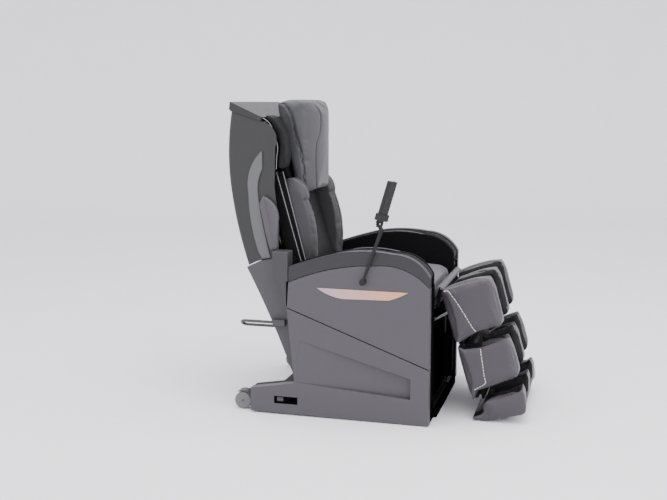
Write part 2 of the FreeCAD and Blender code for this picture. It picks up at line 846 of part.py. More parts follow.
def lower_rear_cover():
    """The cover under the reclining shell; its top edge is an arc about the recline pin."""
    radius = D.cover_arc - D.arc_gap * 0.5
    top_rear = on_circle(D.recline_x, D.recline_z, radius, 30.6)
    top_front = on_circle(D.recline_x, D.recline_z, radius, -6.5)
    top_middle = on_circle(D.recline_x, D.recline_z, radius, 15)
    outline = [
        top_rear,
        arc_to(top_front, top_middle),
        (D.side_rear - 3, D.seam_rear),
        (D.side_rear_foot + 2, D.recline_z),
        (D.side_rear_foot + 2, D.rail_top + 6),
        (D.side_rear_foot - 25, D.rail_top + 6),
    ]
    outline[0] = arc_to(outline[0], (D.recline_x - 53, D.recline_z + 54))
    width = D.shell_half * 2
    cover = plate("rear_cover_lower", outline, -D.shell_half, width)
    wall = D.shell_wall
    inside = [
        (top_rear[0] + wall * 1.2, top_rear[1] + 12),
        (top_rear[0] + wall * 1.2, top_rear[1] + 60),
        (D.side_rear_foot + 20, top_rear[1] + 60),
        (D.side_rear_foot + 20, D.rail_top - 10),
        (D.side_rear_foot - 18, D.rail_top - 10),
    ]
    inside[0] = arc_to(inside[0], (D.recline_x - 46, D.recline_z + 54))
    cut(cover, "lower_inside", inside, D.shell_half - wall, width - wall * 2)
    keep(cover, "rear_cover_lower")


# ---------------------------------------------------------------- backrest


def on_back(up, out):
    """A place on the backrest: up its slope from the seat, and out behind its front face."""
    lean = math.radians(SIZES["back_tilt"])
    onward_x = D.back_low_x - as_size(up) * math.sin(lean) - as_size(out) * math.cos(lean)
    height = D.back_low_z + as_size(up) * math.cos(lean) - as_size(out) * math.sin(lean)
    return (onward_x, height)


def about_pin(radius, degrees_back):
    """A point at a radius from the recline pin."""
    return on_circle(D.recline_x, D.recline_z, radius, degrees_back)


def between(name, outline, inner, outer):
    """A right-hand plate from an inner to an outer distance off the middle plane."""
    return plate(name, outline, inner, outer - inner)


def across(name, outline, half):
    """A plate that reaches equally far to both sides."""
    return plate(name, outline, -half, half * 2)


def back_shell():
    """The rear shell, open to the front, with its cap and the trims on its sides."""
    radius = D.cover_arc + D.arc_gap * 0.5
    outline = [
        arc_to((D.shell_low_x, D.shell_low_z), (-435, 745)),
        arc_to(about_pin(radius, 4.1), about_pin(radius, 15)),
        (-258, 740),
        (-276, 900),
        (D.shell_front_x, D.shell_front_z),
        arc_to((-331, 1153), (-289, 1135)),
        (D.shell_top_x, D.shell_top_z),
        arc_to((D.shell_middle_x, D.shell_middle_z), (-469, 1040)),
    ]
    shell = across("back_shell_body", outline, D.shell_half)
    soften(shell, "shell_side_round", D.shell_round, rear_of_shell)
    wall = D.shell_wall
    inside = [
        arc_to((D.shell_low_x + wall, D.shell_low_z - 12), (-429, 745)),
        (-230, D.shell_low_z - 12),
        (-230, 1165),
        (-331, 1146.5),
        (D.shell_top_x + wall, D.shell_top_z - 8),
        arc_to((D.shell_middle_x + wall, D.shell_middle_z), (-463, 1040)),
    ]
    cut(shell, "shell_inside", inside, D.shell_half - wall, (D.shell_half - wall) * 2)
    keep(shell, "back_shell")
    cap_outline = [
        (-457, D.cap_top),
        (D.cap_front, D.cap_top - 60),
        (-331, 1154),
        (D.shell_top_x, D.shell_top_z + 1.5),
        (-461, D.shell_top_z + 10),
    ]
    cap = across("cap_body", cap_outline, D.shell_half + 3)
    cap_inside = [(-452, 1222), (-337, 1169), (-336, 1150), (-452, 1187)]
    cut(cap, "cap_inside", cap_inside, D.shell_half, D.shell_half * 2)
    keep(cap, "back_cap")
    fin_outline = [
        arc_to((-382, 870), (-366, 985)),
        arc_to((-342, 637), (-371, 750)),
        (-327, 612),
        (-293, 617),
        arc_to((-344, 870), (-324, 750)),
        arc_to((-324, 968), (-339, 930)),
        (-325, 1038),
    ]
    start = D.shell_half + 0.2
    pair("back_fins", between("fin", fin_outline, start, D.shell_half + D.fin_depth))
    fairing_outline = [
        (-290, 645),
        (-258, 656),
        (-256, 760),
        arc_to((-318, 862), (-280, 838)),
        (-334, 830),
        (-310, 715),
    ]
    fairing = between("fairing", fairing_outline, start, D.shell_half + D.fairing_depth)
    soften(fairing, "fairing_round", 8, edge_at(1, -(D.shell_half + D.fairing_depth)))
    pair("back_fairings", fairing)


def rear_of_shell(edge):
    """The long rear edges down both sides of the shell."""
    middle = edge.CenterOfMass
    return abs(abs(middle.y) - SIZES["shell_half"]) < 0.01 and middle.x < -410 and edge.BoundBox.ZLength > 100


def back_frame():
    """Two side plates on the recline pins, tied by round bars, with the pull bar that the actuator pushes."""
    pin = (D.recline_x, D.recline_z)
    boss = D.pin_radius + D.pin_wall
    outline = [
        about_pin(boss, 60),
        arc_to(about_pin(boss, 190), about_pin(boss, 120)),
        (-106, 358),
        (-106, 386),
        (-160, 470),
        (-190, 600),
        (-356, 1145),
        (-445, 1120),
        (-312, 640),
        about_pin(D.cover_arc + 8, 13.3),
        arc_to(about_pin(D.cover_arc + 8, -7), about_pin(D.cover_arc + 8, 0)),
        (-205, 470),
    ]
    plate_outer = D.plate_inner + D.plate_thickness
    side = between("back_side_plate", outline, D.plate_inner, plate_outer)
    bore = round_hole(*pin, D.pin_radius + D.running_gap)
    cut(side, "pin_hole", bore, D.plate_inner, D.plate_thickness, onward=True)
    for count in range(4):
        low = on_back(150 + 105 * count, 85)
        high = on_back(225 + 105 * count, 85)
        slot = long_hole(low, high, 24)
        cut(side, f"light_hole_{count}", slot, D.plate_inner, D.plate_thickness, onward=True)
    pieces = [side, mirror(side, "back_side")]
    for name, place, radius in (
        ("lower", on_back(D.lower_bar_up, D.guide_depth), D.bar_radius),
        ("upper", on_back(D.upper_bar_up, D.guide_depth), D.bar_radius),
        ("pull", (D.pull_bar_x, D.pull_bar_z), D.pull_bar_radius),
    ):
        start = (place[0], -D.plate_inner - 1, place[1])
        end = (place[0], D.plate_inner + 1, place[1])
        pieces.append(rod(f"{name}_bar", start, end, radius))
    keep(join("back_frame_weld", pieces), "back_frame")


def round_hole(middle_x, middle_z, radius):
    """A circle as two arcs."""
    return [
        arc_to((middle_x - radius, middle_z), (middle_x, middle_z + radius)),
        arc_to((middle_x + radius, middle_z), (middle_x, middle_z - radius)),
    ]


def long_hole(low, high, half):
    """A slot with round ends between two places."""
    low_x, low_z = number_of(low[0]), number_of(low[1])
    high_x, high_z = number_of(high[0]), number_of(high[1])
    length = math.hypot(high_x - low_x, high_z - low_z)
    along = ((high_x - low_x) / length * half, (high_z - low_z) / length * half)
    return [
        (low_x - along[1], low_z + along[0]),
        arc_to((low_x + along[1], low_z - along[0]), (low_x - along[0], low_z - along[1])),
        (high_x + along[1], high_z - along[0]),
        arc_to((high_x - along[1], high_z + along[0]), (high_x + along[0], high_z + along[1])),
    ]


def on_back_3d(up, side, out):
    """A point in space on the backrest."""
    place = on_back(up, out)
    return (place[0], side, place[1])


def massage_unit():
    """Guide rods, the lift screw and its motor, and the carriage with its rocking roller arms."""
    low = D.lower_bar_up + 6
    high = D.upper_bar_up - 6
    depth = D.guide_depth
    guide = rod("guide", on_back_3d(low, -D.guide_side, depth), on_back_3d(high, -D.guide_side, depth),
                D.guide_radius)
    pair("guide_rods", guide)
    screw = rod("screw", on_back_3d(low + 5, 0, depth), on_back_3d(high - 5, 0, depth), D.screw_radius)
    keep(screw, "lift_screw")
    motor_low = on_back_3d(D.upper_bar_up + 10, 0, depth)
    motor = rod("motor_can", motor_low, on_back_3d(D.upper_bar_up + 48, 0, depth), 16)
    keep(motor, "lift_motor")
    middle = D.carriage_up
    carriage_outline = [
        on_back(middle - 30, depth - 14),
        on_back(middle + 30, depth - 14),
        on_back(middle + 30, depth + 22),
        on_back(middle - 30, depth + 22),
    ]
    body = across("carriage_box", carriage_outline, D.carriage_half)
    bores = []
    for name, side, radius in (
        ("right", -D.guide_side, D.guide_radius),
        ("middle", Size(0, "0"), D.screw_radius),
        ("left", D.guide_side, D.guide_radius),
    ):
        start = on_back_3d(middle - 40, side, depth)
        end = on_back_3d(middle + 40, side, depth)
        bores.append(rod(f"carriage_bore_{name}", start, end, radius + D.running_gap))
    shaft = on_back(middle, D.shaft_depth)
    ear_outline = [
        on_back(middle - 20, depth - 10),
        on_back(middle - 12, D.shaft_depth - 10),
        on_back(middle + 12, D.shaft_depth - 10),
        on_back(middle + 20, depth - 10),
    ]
    hole = (*shaft, D.shaft_radius + D.running_gap)
    ear = plate("carriage_ear", ear_outline, 100, 8, holes=[hole])
    bored = minus("carriage_bored", body, *bores)
    keep(join("carriage_join", [bored, ear, mirror(ear, "ear")]), "massage_carriage")
    bar = rod("kneading_bar", (shaft[0], -D.guide_side + 10, shaft[1]),
              (shaft[0], D.guide_side - 10, shaft[1]), D.shaft_radius)
    keep(bar, "kneading_shaft")
    roller_outer = D.roller_inner + D.roller_width
    arm_outline = long_hole(on_back(middle - D.roller_reach, D.shaft_depth),
                            on_back(middle + D.roller_reach, D.shaft_depth), 12)
    arm_pieces = [plate("roller_arm", arm_outline, roller_outer + 2, 10, holes=[hole])]
    for name, reach in (("lower", -D.roller_reach), ("upper", D.roller_reach)):
        place = on_back(middle + reach, D.shaft_depth)
        axle_start = (place[0], -(roller_outer + 4), place[1])
        arm_pieces.append(rod(f"{name}_roller_axle", axle_start, (place[0], -D.roller_inner, place[1]), 5))
        tyre_start = (place[0], -D.roller_inner, place[1])
        tyre = rod(f"{name}_roller", tyre_start, (place[0], -roller_outer, place[1]), D.roller_radius,
                   D.running_gap + 5)
        pair(f"{name}_rollers", rounded(f"{name}_roller_round", tyre, 8, rim_of_roller))
    pair("roller_arms", join("roller_arm_join", arm_pieces))


def rim_of_roller(edge):
    return abs(edge.Length - 2 * math.pi * SIZES["roller_radius"]) < 1


def back_soft_parts():
    """Back cushion with its wide upper part, side bolsters, flaps and the head pillow."""
    low = D.cushion_low_arc
    middle = [
        arc_to(about_pin(low, -23.4), about_pin(low, -16)),
        arc_to((-310, 1142), (-233, 858)),
        (-345, 1140),
        (-222, 635),
        (-200, 616),
        about_pin(low, -9),
    ]
    upper = [
        (-276, 968),
        (-279, D.shell_front_z),
        arc_to((-318, 1140), (-296, 1108)),
        (-345, 1140),
        (-295, 968),
    ]
    pieces = [across("back_pad", middle, D.cushion_half), across("upper_back_pad", upper, D.upper_back_half)]
    keep(join("back_pad_join", pieces), "back_cushion")
    bolster = [
        arc_to(about_pin(low, -25.2), about_pin(low, -16)),
        (-124, 620),
        arc_to((-155, 840), (-131, 750)),
        arc_to((-222, 932), (-182, 905)),
        (-250, 930),
        (-283, 900),
        (-222, 640),
        (-200, 616),
        about_pin(low, -9),
    ]
    start = D.cushion_half + 4
    pair("side_bolsters", between("bolster", bolster, start, start + D.bolster_depth))
    inner_flap = [(-262, 957), (-167, 598), (-163, 575), (-197, 575), (-199, 612), (-245, 640), (-315, 957)]
    outer_flap = [(-286, 954), (-182, 593), (-178, 575), (-197, 575), (-199, 612), (-250, 640), (-325, 954)]
    flap_start = D.plate_inner + D.plate_thickness + 2
    flap_next = flap_start + D.flap_depth + 3
    flaps = [
        between("inner_flap", inner_flap, flap_start, flap_start + D.flap_depth),
        between("outer_flap", outer_flap, flap_next, flap_next + D.flap_depth),
    ]
    pair("shoulder_flaps", *flaps)
    pillow = [
        (-319, 1234),
        (-304, 1175),
        (-273, 1062),
        (-243, 935),
        arc_to((-195, 852), (-223, 876)),
        (-172, 862),
        arc_to((-154, 1057), (-157, 960)),
        (-154, 1173),
        arc_to((-206, 1233), (-167, 1219)),
    ]
    side_view = across("pillow", pillow, D.pillow_half)
    plan = [
        (D.pillow_rear, -D.pillow_half),
        (D.pillow_crown_rear, -D.pillow_half),
        arc_to((D.pillow_crown_rear, D.pillow_half), (D.pillow_crown_front, 0)),
        (D.pillow_rear, D.pillow_half),
    ]
    top_view = plate("pillow_plan", plan, D.pillow_plan_low, D.pillow_plan_depth, role="XY_Plane")
    both = document.addObject("Part::MultiCommon", "pillow_rounded")
    both.Shapes = [side_view, top_view]
    keep(both, "head_pillow")


# ---------------------------------------------------------------- seat and leg rest


def seat_parts():
    board_top = D.board_height + D.board_thickness
    cushion = [
        (D.board_rear + 7, board_top + 1),
        (D.board_rear + 7, D.seat_top),
        (150, D.seat_top - 2),
        (D.seat_front - 22, D.seat_front_top + 2),
        arc_to((D.seat_front, D.seat_front_top - 22), (D.seat_front - 6, D.seat_front_top - 5)),
        (D.seat_front, board_top + 1),
    ]
    keep(across("seat_pad", cushion, D.seat_half), "seat_cushion")
    rear = [
        (D.board_rear + 6, D.shelf_height + 8),
        (D.board_rear + 6, D.seat_top),
        about_pin(D.seat_rear_arc, -25.8),
        arc_to(about_pin(D.seat_rear_arc, 5), about_pin(D.seat_rear_arc, -12)),
        (-262, D.shelf_height + 8),
    ]
    keep(across("rear_pad", rear, D.plate_inner - 16), "seat_rear_pad")


def on_leg(down, out):
    """A place on the leg rest: down its slope from the hinge, and out in front of its rear plane."""
    lean = math.radians(SIZES["leg_tilt"])
    onward_x = D.leg_hinge_x + as_size(down) * math.sin(lean) + as_size(out) * math.cos(lean)
    height = D.leg_hinge_z - as_size(down) * math.cos(lean) + as_size(out) * math.sin(lean)
    return (onward_x, height)


def leg_box(name, top, bottom, rear, front, near, depth):
    """A straight piece of the leg rest, square to its slope."""
    corners = [on_leg(top, rear), on_leg(top, front), on_leg(bottom, front), on_leg(bottom, rear)]
    return plate(name, corners, near, depth)


def leg_frame():
    """The steel plate behind the calf pads, with hinge knuckles, slider guides and the actuator's lug."""
    half = D.leg_frame_half
    rear = 3
    front = D.leg_frame_depth + rear
    pieces = [leg_box("leg_plate", 14, 455, rear, front, -half, half * 2)]
    knuckle = [
        arc_to(on_leg(-6, -6.7), on_leg(-9, 0)),
        on_leg(30, -2),
        on_leg(40, rear + 1),
        on_leg(14, rear + 1),
        on_leg(2, 8.7),
    ]
    for side in (-1, 1):
        near = D.lug_middle - 32 if side < 0 else -(D.lug_middle - 12)
        hole = (D.leg_hinge_x, D.leg_hinge_z, D.leg_pin_radius)
        pieces.append(plate(f"leg_knuckle_{side + 1}", knuckle, near, 20, holes=[hole]))
        guide_near = D.slider_half + 2 if side < 0 else -(D.slider_half + 12)
        pieces.append(leg_box(f"slider_guide_{side + 1}", 262, 455, front - 1, front + 12, guide_near, 10))
    lug = [
        on_leg(D.lift_lug_down - 22, rear + 1),
        on_leg(D.lift_lug_down - 9, -D.lift_lug_back - 8),
        on_leg(D.lift_lug_down + 9, -D.lift_lug_back - 8),
        on_leg(D.lift_lug_down + 22, rear + 1),
    ]
    for side in (-1, 1):
        near = -(D.lift_y - 18) if side < 0 else -(D.lift_y + 12)
        pieces.append(plate(f"lift_lug_{side + 1}", lug, near, 6))
    pin = on_leg(D.lift_lug_down, -D.lift_lug_back)
    pieces.append(rod("lift_lug_pin", (pin[0], D.lift_y - 17, pin[1]), (pin[0], D.lift_y + 17, pin[1]), 5))
    keep(join("leg_frame_weld", pieces), "leg_frame")
    hinge_pin = rod("hinge_pin", (D.leg_hinge_x, -(D.lug_middle - 30), D.leg_hinge_z),
                    (D.leg_hinge_x, -(D.lug_middle + 12), D.leg_hinge_z), D.leg_pin_radius - D.running_gap)
    pair("leg_hinge_pins", hinge_pin)


def calf_pads():
    """Upper and lower calf blocks, each with an outer wall a side, a middle wall, a web and two channels."""
    upper_front = [
        (412, 521),
        (478, 545),
        (536, 562),
        (565, 566),
        (580, 540),
        (596, 480),
        (621, 390),
        (612, 378),
        (569, 365),
        (523, 347),
        (482, 324),
    ]
    lower_front = [
        (472, 288),
        (536, 300),
        (639, 343),
        (655, 310),
        (687, 198),
        (680, 185),
        (589, 142),
    ]
    upper = calf_block("upper_calf", [(380, 508), *upper_front, (452, 302), (438, 303)],
                       [on_leg(14, 17), *upper_front, on_leg(202, 17)], (14, 199, 17, 60))
    keep(upper, "upper_calf_pad")
    lower = calf_block("lower_calf", [(442, 294), *lower_front, (526, 114), (512, 78), (509, 80)],
                       [on_leg(231, 28), *lower_front, on_leg(412, 28)], (231, 405, 28, 65))
    keep(lower, "lower_calf_pad")


def calf_block(name, outer_wall, middle_wall, web):
    """One padded block in the shape of an E lying on its back, so that each calf has its own channel."""
    wall = between(f"{name}_wall", outer_wall, D.channel_half, D.leg_half)
    middle = across(f"{name}_middle", middle_wall, D.middle_half)
    top, bottom, rear, front = web
    inner = D.channel_half + 1
    sheet_piece = leg_box(f"{name}_web", top, bottom, rear, front, -inner, inner * 2)
    return join(f"{name}_join", [wall, mirror(wall, f"{name}_wall"), middle, sheet_piece])


def foot_parts():
    """The foot section on its slider plate."""
    slider = leg_box("foot_slide_plate", 262, 478, 18, 26, -D.slider_half, D.slider_half * 2)
    keep(slider, "foot_slider")
    wall_outline = [
        (556, 84),
        (634, 112),
        (681, 132),
        (696, 147),
        (708, 126),
        (715, 83),
        (716, 52),
        (699, 41),
        (636, 19),
        (573, 7),
        (525, 5),
        (505, 8),
        (509, 20),
        (541, 30),
        (550, 40),
        (552, 69),
    ]
    sole_outline = [
        (552, 69),
        (566, 60),
        (574, 32),
        (712, 76),
        (716, 52),
        (699, 41),
        (636, 19),
        (573, 7),
        (525, 5),
        (505, 8),
        (509, 20),
        (541, 30),
        (550, 40),
    ]
    wall = between("foot_wall", wall_outline, D.channel_half, D.leg_half)
    middle = across("foot_middle", wall_outline, D.middle_half)
    sole = across("foot_sole", sole_outline, D.channel_half + 1)
    keep(join("foot_join", [wall, mirror(wall, "foot_wall"), middle, sole]), "foot_pad")


# ---------------------------------------------------------------- actuators


def actuator(name, foot_x, foot_z, middle_y, far_x, far_z, short, body_length, rod_start):
    """A linear actuator: a tube with an eye at its foot, and a rod that stops short of the pin it pushes."""
    far = Vector(far_x, 0, far_z)
    foot = Vector(number_of(foot_x), 0, number_of(foot_z))
    along = (far - foot).normalize()
    length = far.distanceToPoint(foot)

    def at(distance):
        place = foot + along * distance
        return (place.x, middle_y, place.z)

    tube = rod(f"{name}_tube", at(20), at(body_length), D.actuator_radius)
    hollow_part = rod(f"{name}_hollow", at(30), at(body_length + 1), D.rod_radius + D.running_gap)
    eye_start = (foot_x, middle_y - 14, foot_z)
    eye_end = (foot_x, middle_y + 14, foot_z)
    eye = rod(f"{name}_eye", eye_start, eye_end, 15)
    neck = rod(f"{name}_neck", at(6), at(24), 12)
    bore = rod(f"{name}_foot_bore", (foot_x, middle_y - 30, foot_z), (foot_x, middle_y + 30, foot_z),
               D.foot_pin_radius + D.running_gap)
    body = minus(f"{name}_bored", join(f"{name}_join", [tube, eye, neck]), hollow_part, bore)
    keep(body, f"{name}_actuator")
    keep(rod(f"{name}_steel_rod", at(rod_start), at(length - short), D.rod_radius), f"{name}_rod")


def actuators():
    actuator("recline", D.recline_base_x, D.recline_base_z, D.recline_y,
             SIZES["pull_bar_x"], SIZES["pull_bar_z"], 23, 205, 90)
    lug = on_leg(D.lift_lug_down, -D.lift_lug_back)
    actuator("lift", D.lift_base_x, D.lift_base_z, D.lift_y,
             number_of(lug[0]), number_of(lug[1]), 28, 230, 60)


# ---------------------------------------------------------------- remote control


def remote_axes():
    """The remote's frame, from its lowest middle point: its length, its width and the way its keys face."""
    turn = FreeCAD.Rotation(Vector(0, 1, 0), SIZES["remote_lean"])
    turn = turn.multiply(FreeCAD.Rotation(Vector(0, 0, 1), -SIZES["remote_turn"]))
    foot = Vector(SIZES["remote_low_x"], SIZES["remote_y"], SIZES["remote_low_z"])
    return FreeCAD.Placement(foot, turn)


def remote_block(name, back, front, right, left, low, high):
    """A box in the remote's own frame; its keys face the frame's -X."""
    shape = document.addObject("Part::Box", name)
    bind(shape, "Length", as_size(front) - back)
    bind(shape, "Width", as_size(left) - right)
    bind(shape, "Height", as_size(high) - low)
    corner = Vector(number_of(back), number_of(right), number_of(low))
    shape.Placement = remote_axes().multiply(FreeCAD.Placement(corner, FreeCAD.Rotation()))
    return shape


def remote_rod(name, start, end, radius):
    """A round bar between two points of the remote's frame."""
    axes = remote_axes()
    return rod(name, axes.multVec(Vector(*start)), axes.multVec(Vector(*end)), radius)


def stand():
    """The socket on the right side cover, the tapered pole, and the clamp knob beside its fork."""
    inner = D.stand_y - 6
    foot = (D.stand_foot_x, D.stand_foot_z)
    boss = rod("stand_boss", (foot[0], -D.half_width - 0.4, foot[1]), (foot[0], -inner + 0.5, foot[1]), 12)
    boss_pin = rod("stand_pin", (foot[0], -inner + 1, foot[1]), (foot[0], -D.stand_y - 5, foot[1]), 4)
    keep(join("stand_socket_join", [boss, boss_pin]), "stand_socket")
    low = Vector(number_of(foot[0]), -SIZES["stand_y"], number_of(foot[1]))
    top = Vector(SIZES["stand_top_x"], -SIZES["stand_y"], SIZES["stand_top_z"])
    cone = document.addObject("Part::Cone", "pole_cone")
    cone.Radius1 = 5
    cone.Radius2 = 7.5
    cone.Height = (top - low).Length - 40
    cone.Placement = FreeCAD.Placement(low, FreeCAD.Rotation(Vector(0, 0, 1), top - low))
    eye = rod("pole_eye", (foot[0], -D.stand_y + 5, foot[1]), (foot[0], -D.stand_y - 5, foot[1]), 12)
    bore = rod("pole_bore", (foot[0], -D.stand_y + 20, foot[1]), (foot[0], -D.stand_y - 20, foot[1]),
               4 + D.running_gap)
    pole_end = low + (top - low).normalize() * (cone.Height.Value - 4)
    head = rod("pole_head", pole_end, remote_axes().multVec(Vector(0, 0, -32)), 8)
    fork = [remote_block("fork_base", -5, 5, -13, 13, -38, -28)]
    pivot = SIZES["holder_pivot"]
    for side in (-1, 1):
        near = 9 if side > 0 else -13
        fork.append(remote_block(f"fork_cheek_{side + 1}", -5, 5, near, near + 4, -38, pivot))
        fork.append(remote_rod(f"fork_eye_{side + 1}", (0, near, pivot), (0, near + 4, pivot), 5))
    fork.append(remote_rod("fork_pin", (0, -21, pivot), (0, 13, pivot), 3))
    keep(minus("pole_bored", join("pole_join", [cone, eye, head, *fork]), bore), "remote_pole")
    knob = remote_rod("knob_round", (0, -20, pivot), (0, -13.4, pivot), 5.5)
    wing = remote_block("knob_wing", -2, 2, -20, -14, pivot - 12, pivot)
    hole = remote_rod("knob_hole", (0, -25, pivot), (0, -10, pivot), 3 + SIZES["running_gap"])
    keep(minus("knob_bored", join("knob_join", [knob, wing]), hole), "clamp_knob")


def remote_control():
    """The holder on the fork, and the remote with its screen and keys."""
    half = D.remote_width * 0.5
    deep = D.remote_thickness * 0.5
    pivot = SIZES["holder_pivot"]
    cup = remote_block("holder_cup", -deep - 4, deep + 4, -half - 4, half + 4, -12, 14)
    room = remote_block("holder_room", -deep - 0.5, deep + 0.5, -half - 0.5, half + 0.5, -4, 20)
    neck = remote_block("holder_neck", -5, 5, -8, 8, pivot, -11)
    knuckle = remote_rod("holder_knuckle", (0, -8, pivot), (0, 8, pivot), 5)
    pin_hole = remote_rod("holder_pin_hole", (0, -9, pivot), (0, 9, pivot), 3 + SIZES["running_gap"])
    keep(minus("holder_hollow", join("holder_join", [cup, neck, knuckle]), room, pin_hole), "remote_holder")
    slab = remote_block("remote_slab", -deep, deep, -half, half, -3, D.remote_length)
    soft_slab = rounded("remote_round", slab, 3, lambda edge: edge.Length > 16)
    recess = remote_block("face_recess", -deep - 1, -deep + 1.2, -half + 4, half - 4, 34, D.remote_length - 6)
    tools = [recess]
    face_at_x = -SIZES["remote_thickness"] / 2
    tools.append(remote_rod("power_bore", (face_at_x - 2, 0, 24), (face_at_x + 5, 0, 24), 5.4))
    for name, middle in (("leg", 47), ("recline", 73)):
        room_for_key = remote_block(f"{name}_key_room", -deep - 1, -deep + 5, -10.6, 10.6,
                                    middle - 12, middle + 12)
        tools.append(room_for_key)
        key = remote_block(f"{name}_key", -deep - 1.2, -deep + 3, -10, 10, middle - 11, middle + 11)
        keep(key, f"{name}_rocker")
    keep(minus("remote_case", soft_slab, *tools), "remote_body")
    screen = remote_block("screen_glass", -deep + 0.2, -deep + 1.1, -half + 6, half - 6,
                          92, D.remote_length - 8)
    keep(screen, "remote_screen")
    button = remote_rod("power_key", (face_at_x - D.button_stand.number, 0, 24), (face_at_x + 3, 0, 24), 5)
    keep(button, "power_button")


# ---------------------------------------------------------------- build, test and write


def build():
    side_boxes()
    base_parts()
    wheels()
    grips()
    power_panel()
    lower_rear_cover()
    back_shell()
    back_frame()
    massage_unit()
    back_soft_parts()
    seat_parts()
    leg_frame()
    calf_pads()
    foot_parts()
    actuators()
    stand()
    remote_control()


build()
document.recompute()
for item in document.Objects:
    if "Invalid" in item.State or "Error" in item.State:
        raise RuntimeError(f"{item.Name} is {item.State}")
for item in SUBPARTS:
    if item.Shape.isNull() or not item.Shape.isValid():
        raise RuntimeError(f"{item.Label} has no valid shape")
os.makedirs("parts", exist_ok=True)
for item in SUBPARTS:
    item.Shape.exportStep(f"parts/{item.Label}.step")
print(f"{len(SUBPARTS)} sub-parts written")
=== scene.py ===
"""Looks of the massage chair: upholstery, mouldings, stitching and the studio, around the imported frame."""

import math

import bmesh
import bpy
import numpy as np
from mathutils import Matrix, Vector
from mathutils.bvhtree import BVHTree


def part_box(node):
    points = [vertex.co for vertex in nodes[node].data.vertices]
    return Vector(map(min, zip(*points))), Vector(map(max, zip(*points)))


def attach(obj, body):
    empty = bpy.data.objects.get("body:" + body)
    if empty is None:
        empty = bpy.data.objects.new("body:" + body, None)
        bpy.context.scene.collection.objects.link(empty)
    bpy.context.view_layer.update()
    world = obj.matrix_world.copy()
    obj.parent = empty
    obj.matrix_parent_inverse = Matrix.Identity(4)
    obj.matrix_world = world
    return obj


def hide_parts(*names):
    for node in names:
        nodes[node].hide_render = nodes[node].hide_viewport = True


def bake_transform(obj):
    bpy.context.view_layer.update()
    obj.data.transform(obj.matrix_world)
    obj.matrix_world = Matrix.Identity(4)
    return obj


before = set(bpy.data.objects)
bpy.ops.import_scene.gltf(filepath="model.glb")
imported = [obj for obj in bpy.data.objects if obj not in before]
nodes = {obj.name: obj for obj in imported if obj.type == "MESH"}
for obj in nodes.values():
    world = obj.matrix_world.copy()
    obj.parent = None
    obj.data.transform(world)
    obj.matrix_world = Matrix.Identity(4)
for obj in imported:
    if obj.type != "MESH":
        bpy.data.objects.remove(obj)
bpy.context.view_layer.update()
scene = bpy.context.scene

# ---------------------------------------------------------------- colours and materials


def linear(*levels):
    """A colour given as 0 to 255 screen levels."""
    values = [level / 255 for level in levels]
    return [v / 12.92 if v <= 0.04045 else ((v + 0.055) / 1.055) ** 2.4 for v in values] + [1.0]


def node(tree, kind, **settings):
    item = tree.nodes.new(kind)
    for key, value in settings.items():
        setattr(item, key, value)
    return item


def fill(item, **inputs):
    for key, value in inputs.items():
        item.inputs[key.replace("_", " ")].default_value = value
    return item


def mottled(tree, place, colour, spread, scale):
    """The base colour with slow light and dark drift across it."""
    noise = fill(node(tree, "ShaderNodeTexNoise"), Scale=scale, Detail=4.0, Roughness=0.6)
    ramp = node(tree, "ShaderNodeMapRange")
    ramp.inputs["To Min"].default_value = 1 - spread
    ramp.inputs["To Max"].default_value = 1 + spread
    tint = node(tree, "ShaderNodeMix", data_type="RGBA", blend_type="MULTIPLY")
    tint.inputs[0].default_value = 1.0
    tint.inputs[6].default_value = colour
    tree.links.new(place.outputs["Object"], noise.inputs["Vector"])
    tree.links.new(noise.outputs["Fac"], ramp.inputs["Value"])
    tree.links.new(ramp.outputs["Result"], tint.inputs[7])
    return tint.outputs[2]


def uneven_roughness(tree, place, roughness, spread, scale):
    noise = fill(node(tree, "ShaderNodeTexNoise"), Scale=scale, Detail=3.0)
    ramp = node(tree, "ShaderNodeMapRange")
    ramp.inputs["To Min"].default_value = roughness - spread
    ramp.inputs["To Max"].default_value = roughness + spread
    tree.links.new(place.outputs["Object"], noise.inputs["Vector"])
    tree.links.new(noise.outputs["Fac"], ramp.inputs["Value"])
    return ramp.outputs["Result"]


def start_material(name, colour, roughness, spread=0.05, drift=4.0):
    made = bpy.data.materials.new(name)
    made.use_nodes = True
    tree = made.node_tree
    shader = tree.nodes["Principled BSDF"]
    place = node(tree, "ShaderNodeTexCoord")
    tree.links.new(mottled(tree, place, colour, spread, drift), shader.inputs["Base Color"])
    tree.links.new(uneven_roughness(tree, place, roughness, 0.05, 35.0), shader.inputs["Roughness"])
    return made, tree, shader, place


def bump(tree, height, distance, strength, below=None):
    item = fill(node(tree, "ShaderNodeBump"), Distance=distance, Strength=strength)
    tree.links.new(height, item.inputs["Height"])
    if below is not None:
        tree.links.new(below, item.inputs["Normal"])
    return item.outputs["Normal"]


def moulded(name, colour, roughness, texture=1.0, specular=0.4):
    """Injection-moulded plastic with a fine spark-eroded texture and faint flow waviness."""
    made, tree, shader, place = start_material(name, colour, roughness, 0.035)
    shader.inputs["Specular IOR Level"].default_value = specular
    fine = fill(node(tree, "ShaderNodeTexNoise"), Scale=1400.0, Detail=2.0)
    slow = fill(node(tree, "ShaderNodeTexNoise"), Scale=9.0, Detail=2.0)
    for item in (fine, slow):
        tree.links.new(place.outputs["Object"], item.inputs["Vector"])
    wavy = bump(tree, slow.outputs["Fac"], 0.002, 0.12)
    tree.links.new(bump(tree, fine.outputs["Fac"], 0.0002 * texture, 0.35, wavy), shader.inputs["Normal"])
    return made


